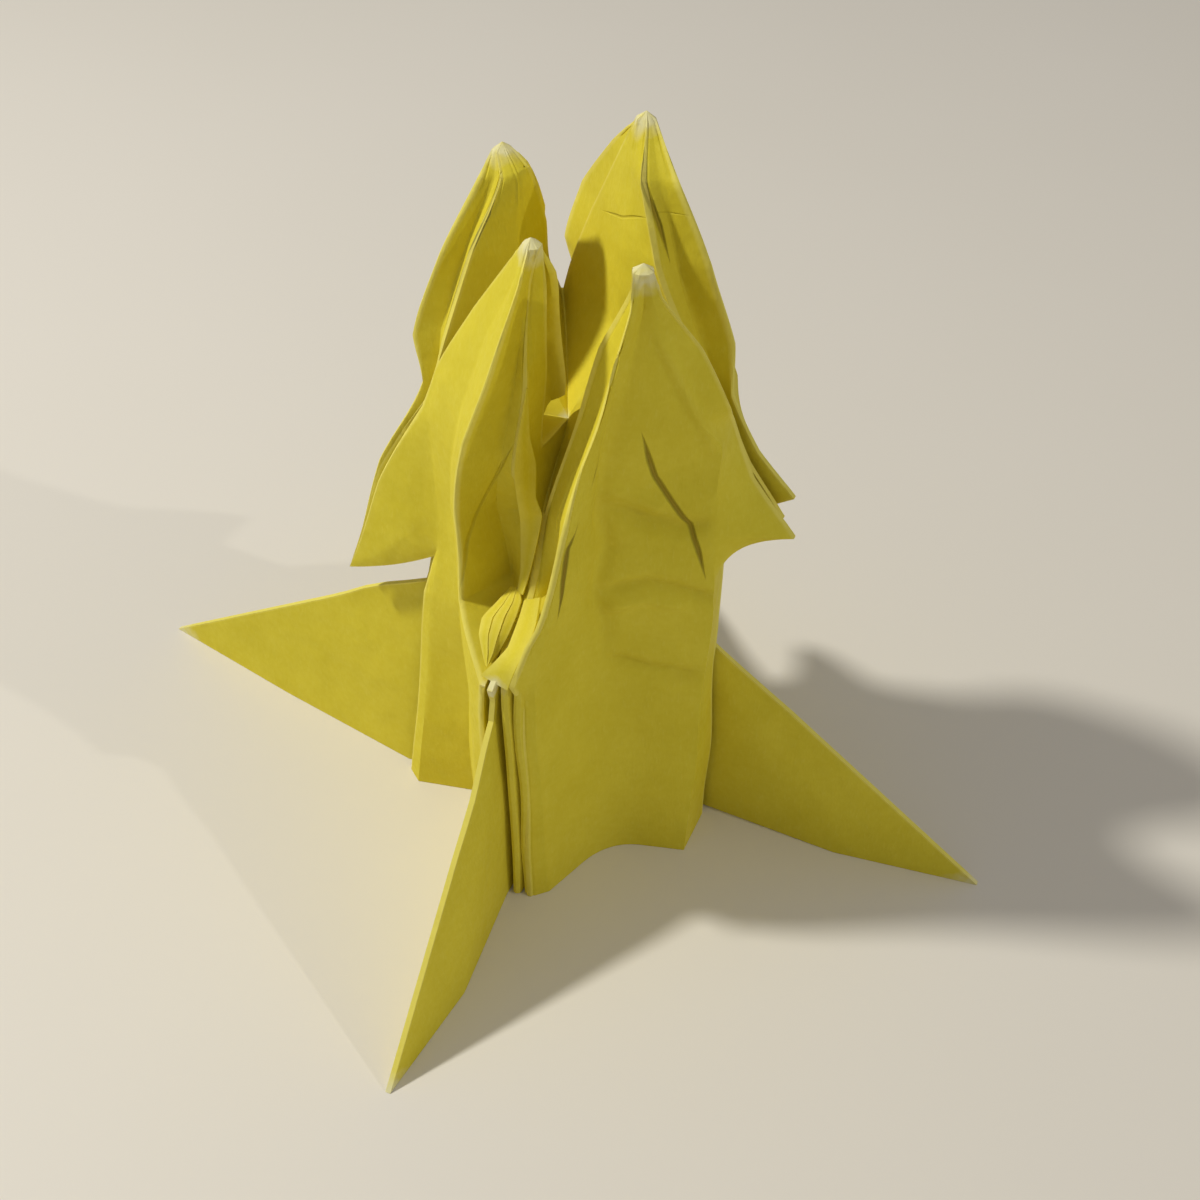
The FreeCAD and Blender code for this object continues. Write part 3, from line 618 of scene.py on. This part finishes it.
def away(P3, path):
    """Distance of every point from a line of points, and the share of the way along it."""
    path = np.asarray(path, float)
    best = np.full(len(P3), 1e9)
    where = np.zeros(len(P3))
    for i in range(len(path) - 1):
        d = path[i + 1] - path[i]
        t = np.clip(((P3 - path[i]) @ d) / (d @ d), 0, 1)
        gap = np.linalg.norm(P3 - path[i] - t[:, None] * d, axis=1)
        closer = gap < best
        best[closer] = gap[closer]
        where[closer] = (i + t[closer]) / (len(path) - 1)
    return best, where


# Creases and dents seen on the faces: face, depth inward, half width, painted shade, paleness (painted
# highlight on a raised ridge), path.
# Those wider than NARROW move the net, DENT times as deep, and the others are drawn on it.
NARROW = 0.36
DENT = 1.9
FR, BR, BL, FL = 0, 10, 20, 30
MARKS = [
    (FR + OUTER, 0.34, 0.26, 0.75, 0.0, [
        (9.4, -5.1, 44.6), (9.8, -4.6, 42.3), (10.2, -4.2, 40.5), (11.4, -3.8, 38.3),
        (12.7, -3.3, 36.0), (13.3, -3.1, 33.9), (13.7, -2.8, 31.5)]),
    (FR + OUTER, 0.25, 0.22, 0.6, 0.0, [(7.2, -7.7, 43.6), (7.1, -8.1, 41.8)]),
    (FR + OUTER, 0.34, 0.26, 0.8, 0.0, [
        (6.5, -9.6, 39.0), (6.1, -10.3, 37.6), (5.7, -10.6, 34.8), (5.1, -10.7, 31.3)]),
    (FR + OUTER, 0.30, 0.75, 0.0, 0.0, [
        (8.7, -7.4, 52.3), (7.9, -6.9, 46.9), (7.4, -6.7, 42.3), (6.8, -6.1, 37.3), (7.0, -5.6, 34.5),
        (6.3, -6.2, 31.9), (6.1, -6.5, 30.3), (6.4, -6.0, 27.1), (6.6, -5.8, 23.9)]),
    (FR + OUTER, -0.14, 0.4, 0.0, 0.12, [
        (10.4, -5.5, 53.9), (12.4, -3.9, 47.8), (13.5, -3.0, 44.8), (14.3, -2.4, 42.0)]),
    (FR + OUTER, 0.25, 0.7, 0.12, 0.0, [
        (6.9, -6.3, 38.2), (9.3, -4.6, 36.9), (12.0, -3.6, 35.8), (14.1, -2.7, 36.0)]),
    (FR + OUTER, -0.20, 0.6, 0.0, 0.0, [
        (7.0, -6.3, 39.8), (9.3, -4.6, 38.6), (11.0, -3.9, 37.6)]),
    (FR + OUTER, 0.25, 0.6, 0.12, 0.0, [
        (6.2, -6.1, 30.2), (9.5, -4.7, 31.0), (11.5, -3.7, 30.2), (14.4, -2.3, 28.8)]),
    (FR + OUTER, -0.18, 0.5, 0.0, 0.0, [(6.4, -6.1, 28.6), (9.5, -4.7, 29.4), (12.5, -3.2, 28.2)]),
    (FR + OUTER, 0.22, 0.5, 0.1, 0.0, [(6.7, -5.7, 23.3), (10.2, -4.1, 21.7), (13.8, -2.5, 20.7)]),
    (BR + INNER, 0.08, 0.13, 0.14, 0.0, [(0.6, 8.4, 52.9), (3.4, 6.1, 54.0), (6.6, 3.5, 56.1)]),
    (BR + SIDE, 0.08, 0.13, 0.14, 0.0, [(6.8, 3.8, 56.4), (8.9, 4.5, 56.3)]),
    (BR + SIDE, 0.40, 0.24, 0.7, 0.0, [
        (4.9, 6.4, 60.0), (5.6, 4.5, 58.3), (6.3, 3.9, 57.3), (7.2, 3.5, 55.8), (8.3, 3.2, 53.4)]),
    (FL + SIDE + CCW_SIDE, 0.14, 0.17, 0.25, 0.0, [
        (0.3, -6.3, 42.1), (-1.5, -6.2, 38.0), (-3.0, -6.8, 34.7), (-3.3, -8.1, 33.1),
        (-3.6, -8.4, 29.5)]),
    (BL + SIDE + CCW_SIDE, 0.3, 0.22, 0.6, 0.0, [
        (-4.9, 4.6, 56.9), (-5.0, 3.0, 54.2), (-5.6, 1.7, 52.5), (-6.6, 0.5, 49.7),
        (-7.7, -0.5, 46.3)]),
]
# painted shade in the wide creases, slits and bends, and painted highlight on raised ridges
painted_shade = np.zeros(len(P3))
n = normals_of(P3, T)
move = np.zeros_like(P3)
narrow = []
for face, depth, width, shade, wear_and_sheen, path in MARKS:
    if width < NARROW:
        narrow.append((face, depth, width, shade, path))
        continue
    gap, where = away(P3, path)
    ends = np.clip(np.minimum(where, 1 - where) * 6 + 0.25, 0, 1)
    near = np.exp(-(gap / width) ** 2) * ends * (tag == face)
    move -= n * (near * depth * DENT)[:, None]
    painted_shade = np.maximum(painted_shade, near * shade)
    pale = np.maximum(pale, near * wear_and_sheen)


def beside_line(P3, n, own, path):
    """Signed distance of every point from a line, and a strength that fades at its ends."""
    path = np.asarray(path, float)
    gap, _ = away(P3, path)
    facing = n[own & (gap < 2.5)].mean(0)
    best = np.full(len(P3), 1e9)
    signed = np.full(len(P3), 9.0)
    length = np.linalg.norm(np.diff(path, axis=0), axis=1)
    start = np.concatenate([[0], np.cumsum(length)])
    run = np.zeros(len(P3))
    for i in range(len(path) - 1):
        d = (path[i + 1] - path[i]) / length[i]
        across = unit(np.cross(facing, d))
        t = (P3 - path[i]) @ d
        low = -9e9 if i == 0 else 0
        high = 9e9 if i == len(path) - 2 else length[i]
        held = np.clip(t, low, high)
        off = P3 - path[i] - held[:, None] * d
        far = np.linalg.norm(off, axis=1)
        closer = far < best
        best[closer] = far[closer]
        signed[closer] = (off @ across)[closer]
        run[closer] = start[i] + t[closer]
    strength = np.clip(np.minimum(run, start[-1] - run) / 3.0 + 0.25, 0, 1) * own
    return signed, strength


fine = []
for face, depth, width, shade, path in narrow:
    signed, strength = beside_line(P3, n, tag == face, path)
    fine.append((signed, strength, depth, width, shade))
P3 = P3 + move

# the sheet is never quite flat: a soft wave that all its layers follow together
rng = np.random.default_rng(11)
wave = np.zeros_like(P3)
for k in range(14):
    direction = rng.normal(size=3)
    direction /= np.linalg.norm(direction)
    length = rng.uniform(9, 22)
    push = rng.normal(size=3)
    wave += np.sin(P3 @ direction * (2 * np.pi / length) + rng.uniform(0, 6.28))[:, None] * push * 0.055
keep = np.clip(P3[:, 2] / 8, 0, 1) * np.clip((TALL - 2 - P3[:, 2]) / 8, 0, 1)
wave *= keep[:, None]
wave *= np.clip((20 - np.abs(P3[:, :1])) / 4, 0, 1) * np.clip((20 - np.abs(P3[:, 1:2])) / 4, 0, 1)
P3 = P3 + wave

# blunt worn points
tip_of = np.zeros(len(P3))
for tower in TOWERS:
    gap = np.linalg.norm((P3 - tips[tower]) * [1, 1, 0.7], axis=1)
    tip_of = np.maximum(tip_of, np.clip((1.9 - gap) / 1.3, 0, 1))
for spot, reach in ((SPINE["front"][FLAP], 1.5), (SPINE["left"][FLAP], 1.2), (SPINE["front"][RAW], 1.1),
                    (SPINE["left"][RAW], 0.6), (SPINE["right"][RAW], 0.6), (CENTRE, 0.6)):
    gap = np.linalg.norm(P3 - spot, axis=1)
    tip_of = np.maximum(tip_of, np.clip((reach - gap) / (reach * 0.5), 0, 1))


def mitre_steps(P3, T, on_table):
    """At each point the step off the net whose height over every facet around it is 1."""
    a, b, c = P3[T[:, 0]], P3[T[:, 1]], P3[T[:, 2]]
    n = np.cross(b - a, c - a)
    length = np.linalg.norm(n, axis=1)
    n = n / np.maximum(length, 1e-12)[:, None]
    M = np.zeros((len(P3), 3, 3))
    B = np.zeros((len(P3), 3))
    for k, (p, q, s) in enumerate([(a, b, c), (b, c, a), (c, a, b)]):
        u = q - p
        v = s - p
        sides = np.linalg.norm(u, axis=1) * np.linalg.norm(v, axis=1)
        cosine = (u * v).sum(1) / np.maximum(sides, 1e-12)
        w = np.arccos(np.clip(cosine, -1, 1))
        w[length < 1e-9] = 0
        m = n.copy()
        m[on_table[T[:, k]], 2] = 0
        np.add.at(M, T[:, k], w[:, None, None] * m[:, :, None] * m[:, None, :])
        np.add.at(B, T[:, k], w[:, None] * m)
    M += np.eye(3) * 0.03
    step = np.linalg.solve(M, B[:, :, None])[:, :, 0]
    step[on_table, 2] = 0
    far = np.linalg.norm(step, axis=1)
    return step * np.minimum(1, 1.9 / np.maximum(far, 1e-9))[:, None]


step = mitre_steps(P3, T, on_table) * (size("sheet_thickness") / 2)
n = len(P3)
verts = (np.vstack([P3 + step, P3 - step]) + SHIFT) * 0.001
verts = np.clip(verts, np.array(cad_low), np.array(cad_high))
faces = np.vstack([
    T,
    T[:, ::-1] + n,
    np.stack([raw[:, 1], raw[:, 0], raw[:, 0] + n], 1),
    np.stack([raw[:, 1], raw[:, 0] + n, raw[:, 1] + n], 1),
])

mesh = bpy.data.meshes.new("folded_paper")
mesh.from_pydata(verts.tolist(), [], faces.tolist())
mesh.update()
for name, values in (("pale", pale), ("painted_shade", painted_shade), ("tip", tip_of)):
    layer = mesh.attributes.new(name, "FLOAT", "POINT")
    layer.data.foreach_set("value", np.concatenate([values, values]).astype(np.float32))
for k, (signed, strength, depth, width, shade) in enumerate(fine):
    layer = mesh.attributes.new("line_%d" % k, "FLOAT_VECTOR", "POINT")
    values = np.stack([signed, strength, np.zeros_like(signed)], 1)
    layer.data.foreach_set("vector", np.vstack([values, values]).astype(np.float32).ravel())
paper = bpy.data.objects.new("folded_paper", mesh)
bpy.context.scene.collection.objects.link(paper)
mesh.polygons.foreach_set("use_smooth", [True] * len(mesh.polygons))
mesh.set_sharp_from_angle(angle=math.radians(38))


# materials
class Shader:
    """A material's node tree, with short ways to add and join nodes."""

    def __init__(self, name):
        self.mat = bpy.data.materials.new(name)
        self.mat.use_nodes = True
        self.tree = self.mat.node_tree
        self.tree.nodes.clear()
        self.out = self.node("ShaderNodeOutputMaterial")

    def node(self, kind, **fields):
        made = self.tree.nodes.new(kind)
        for key, value in fields.items():
            setattr(made, key, value)
        return made

    def join(self, a, b):
        self.tree.links.new(a, b)

    def noise(self, scale, detail, rough=0.5, vector=None):
        made = self.node("ShaderNodeTexNoise")
        made.inputs["Scale"].default_value = scale
        made.inputs["Detail"].default_value = detail
        made.inputs["Roughness"].default_value = rough
        if vector is not None:
            self.join(vector, made.inputs["Vector"])
        return made.outputs["Fac"]

    def remap(self, value, low, high, to_low=0.0, to_high=1.0):
        made = self.node("ShaderNodeMapRange")
        self.join(value, made.inputs["Value"])
        for key, number in (("From Min", low), ("From Max", high), ("To Min", to_low), ("To Max", to_high)):
            made.inputs[key].default_value = number
        return made.outputs["Result"]

    def math(self, kind, a, b):
        made = self.node("ShaderNodeMath", operation=kind)
        for socket, value in zip(made.inputs, (a, b)):
            if isinstance(value, (int, float)):
                socket.default_value = value
            else:
                self.join(value, socket)
        return made.outputs[0]

    def mix(self, share, a, b):
        made = self.node("ShaderNodeMix", data_type="RGBA")
        for socket, value in ((made.inputs[0], share), (made.inputs[6], a), (made.inputs[7], b)):
            if isinstance(value, (int, float)):
                socket.default_value = value
            elif isinstance(value, tuple):
                socket.default_value = (*value, 1.0)
            else:
                self.join(value, socket)
        return made.outputs[2]

    def attribute(self, name):
        return self.node("ShaderNodeAttribute", attribute_name=name).outputs["Fac"]


s = Shader("yellow_paper")
where = s.node("ShaderNodeTexCoord").outputs["Object"]
blotch = s.noise(160, 2, 0.55, where)
grain = s.noise(1700, 2, 0.6, where)
dents = s.noise(420, 1, 0.5, where)
stretch = s.node("ShaderNodeMapping")
stretch.inputs["Scale"].default_value = (1.0, 1.0, 0.25)
stretch.inputs["Rotation"].default_value = (0.5, 0.3, 0.2)
s.join(where, stretch.inputs["Vector"])
fibre = s.noise(5200, 1, 0.6, stretch.outputs["Vector"])
# narrow creases, drawn by their distance: painted shade along them and a bump
shadow = s.attribute("painted_shade")
groove = None
for k, (signed, strength, depth, width, shade) in enumerate(fine):
    both = s.node("ShaderNodeSeparateXYZ")
    line_at = s.node("ShaderNodeAttribute", attribute_name="line_%d" % k)
    s.join(line_at.outputs["Vector"], both.inputs[0])
    away_from = s.math("DIVIDE", s.math("ABSOLUTE", both.outputs["X"], 0), width)
    line = s.math("SUBTRACT", both.outputs["Y"], away_from)
    line = s.remap(line, 0.0, 0.7)
    shadow = s.math("MAXIMUM", shadow, s.math("MULTIPLY", line, shade))
    deep = s.math("MULTIPLY", line, -depth)
    groove = deep if groove is None else s.math("ADD", groove, deep)
colour = s.mix(s.remap(blotch, 0.35, 0.65), (0.755, 0.640, 0.034), (0.805, 0.690, 0.046))
colour = s.mix(s.remap(grain, 0.40, 0.62, 0.0, 0.15), colour, (0.66, 0.53, 0.022))
colour = s.mix(s.remap(fibre, 0.58, 0.72, 0.0, 0.12), colour, (0.92, 0.84, 0.16))
# painted shade in creases, slits, gaps and bends, mixed towards a deep brown
colour = s.mix(shadow, colour, (0.24, 0.15, 0.003))
wear_noise = s.noise(1300, 1, 0.6, where)
ragged = s.remap(wear_noise, 0.30, 0.60, 0.30, 1.0)
# pale line along folded edges and layer ends: partly wear, partly painted highlight where light catches a
# bent edge
wear_and_sheen = s.math("MULTIPLY", s.attribute("pale"), s.remap(ragged, 0.3, 1.0, 0.75, 1.0))
colour = s.mix(s.remap(wear_and_sheen, 0.05, 0.80, 0.0, 0.60), colour, (0.93, 0.83, 0.19))
wear_and_sheen = s.math("MULTIPLY", s.attribute("tip"), s.remap(ragged, 0.3, 1.0, 0.55, 1.0))
colour = s.mix(s.remap(wear_and_sheen, 0.15, 0.85, 0.0, 0.85), colour, (0.87, 0.82, 0.47))
bsdf = s.node("ShaderNodeBsdfPrincipled")
s.join(colour, bsdf.inputs["Base Color"])
bsdf.inputs["Specular IOR Level"].default_value = 0.25
s.join(s.remap(grain, 0.3, 0.7, 0.60, 0.76), bsdf.inputs["Roughness"])
crease = s.node("ShaderNodeBump")
crease.inputs["Strength"].default_value = 1.0
crease.inputs["Distance"].default_value = 0.0006
s.join(groove, crease.inputs["Height"])
bump = s.node("ShaderNodeBump")
bump.inputs["Strength"].default_value = 0.4
bump.inputs["Distance"].default_value = 0.00008
height = s.math("ADD", s.math("MULTIPLY", grain, 0.8), s.math("MULTIPLY", fibre, 0.5))
s.join(s.math("ADD", height, s.math("MULTIPLY", dents, 5.0)), bump.inputs["Height"])
s.join(crease.outputs["Normal"], bump.inputs["Normal"])
s.join(bump.outputs["Normal"], bsdf.inputs["Normal"])
s.join(bsdf.outputs["BSDF"], s.out.inputs["Surface"])
mesh.materials.append(s.mat)

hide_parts("folded_sheet")
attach(paper, "root")

# the pale table, just under the figure's raw edge
floor_mesh = bpy.data.meshes.new("table_top")
HALF = 3.0
corners = [(-HALF, -HALF, 0), (HALF, -HALF, 0), (HALF, HALF, 0), (-HALF, HALF, 0)]
floor_mesh.from_pydata(corners, [], [(0, 1, 2, 3)])
floor = bpy.data.objects.new("table_top", floor_mesh)
floor.location = (0, 0, -0.00003)
bpy.context.scene.collection.objects.link(floor)
s = Shader("pale_table")
where = s.node("ShaderNodeTexCoord").outputs["Object"]
cloudy = s.remap(s.noise(9, 3, 0.5, where), 0.35, 0.65)
colour = s.mix(cloudy, (0.80, 0.755, 0.655), (0.815, 0.77, 0.675))
bsdf = s.node("ShaderNodeBsdfPrincipled")
s.join(colour, bsdf.inputs["Base Color"])
bsdf.inputs["Roughness"].default_value = 0.45
bsdf.inputs["Specular IOR Level"].default_value = 0.3
s.join(bsdf.outputs["BSDF"], s.out.inputs["Surface"])
floor_mesh.materials.append(s.mat)


# light
def aimed(name, kind, azimuth, elevation, distance, energy, colour):
    lamp = bpy.data.lights.new(name, kind)
    lamp.energy = energy
    lamp.color = colour
    obj = bpy.data.objects.new(name, lamp)
    a, e = math.radians(azimuth), math.radians(elevation)
    source = Vector((math.cos(a) * math.cos(e), math.sin(a) * math.cos(e), math.sin(e)))
    obj.rotation_mode = "QUATERNION"
    obj.rotation_quaternion = source.to_track_quat("Z", "Y")
    obj.location = source * distance
    bpy.context.scene.collection.objects.link(obj)
    return lamp


def disc(name, azimuth, elevation, distance, width, level, colour):
    """A round lamp that gives the table this brightness, as a share of white."""
    energy = math.pi ** 2 * level * distance ** 2 / math.sin(math.radians(elevation))
    lamp = aimed(name, "AREA", azimuth, elevation, distance, energy, colour)
    lamp.shape = "DISK"
    lamp.size = width
    return lamp


disc("lamp_left", 196, 54, 0.48, 0.040, 0.500, (1.0, 0.985, 0.945))
disc("lamp_right", 357, 33, 0.80, 0.016, 0.070, (1.0, 0.97, 0.92))
world = bpy.data.worlds.new("room")
bpy.context.scene.world = world
world.use_nodes = True
sky = world.node_tree.nodes["Background"]
sky.inputs[0].default_value = (1.0, 0.98, 1.0, 1)
# the room is brighter overhead than at the sides
side_on = world.node_tree.nodes.new("ShaderNodeTexCoord")
split = world.node_tree.nodes.new("ShaderNodeSeparateXYZ")
level = world.node_tree.nodes.new("ShaderNodeMapRange")
world.node_tree.links.new(side_on.outputs["Generated"], split.inputs[0])
world.node_tree.links.new(split.outputs["Z"], level.inputs["Value"])
level.inputs["To Min"].default_value = 0.13
level.inputs["To Max"].default_value = 0.33
world.node_tree.links.new(level.outputs["Result"], sky.inputs[1])

# camera, as in the photo
camera = bpy.data.cameras.new("photo_view")
camera.lens = 51
camera.sensor_width = 36
camera.clip_start = 0.005
camera.clip_end = 10
view = bpy.data.objects.new("photo_view", camera)
view.location = (0.04342, -0.09259, 0.1156)
view.rotation_mode = "QUATERNION"
view.rotation_quaternion = Vector((-0.274, 0.678, -0.682)).to_track_quat("-Z", "Y")
bpy.context.scene.collection.objects.link(view)
bpy.context.scene.camera = view

bpy.context.scene.view_settings.view_transform = "Standard"
